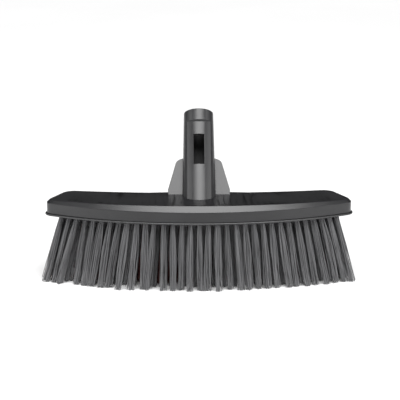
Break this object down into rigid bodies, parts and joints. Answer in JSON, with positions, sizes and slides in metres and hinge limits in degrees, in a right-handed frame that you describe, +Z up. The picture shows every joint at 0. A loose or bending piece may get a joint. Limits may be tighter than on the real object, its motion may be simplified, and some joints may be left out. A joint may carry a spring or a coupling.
{
  "type": "push broom head",
  "caption": "Crescent-shaped push broom head with stiff bristles, a bevelled plastic cover and a slanted handle socket with side wings and a latch window.",
  "frame": {"origin": "middle of the object's footprint, on the plane of the bristle tips", "axes": "+X along the head, -Y to its convex front, +Y to the side the handle leans to, +Z up"},
  "size_m": [0.4086, 0.1506, 0.2126],
  "materials": {
    "cover_plastic": "satin black moulded polypropylene with a fine texture",
    "socket_plastic": "satin black moulded polypropylene",
    "stiff_bristle": "dark grey extruded plastic filament, slightly glossy",
    "soft_bristle": "red-brown extruded plastic filament, slightly glossy",
    "screw_steel": "zinc-plated self-tapping screw"
  },
  "bodies": {
    "root": {"head_cover": "cover_plastic", "bristle_board": "cover_plastic", "handle_socket": "socket_plastic", "board_screw_1": "screw_steel", "board_screw_2": "screw_steel", "board_screw_3": "screw_steel", "board_screw_4": "screw_steel", "board_screw_5": "screw_steel", "board_screw_6": "screw_steel", "socket_screw_1": "screw_steel", "socket_screw_2": "screw_steel", "socket_screw_3": "screw_steel", "socket_screw_4": "screw_steel", "bristle_row_1": "stiff_bristle", "bristle_row_2": "stiff_bristle", "bristle_row_3": "soft_bristle", "bristle_row_4": "soft_bristle", "bristle_row_5": "soft_bristle", "bristle_row_6": "stiff_bristle"}
  },
  "joints": []
}
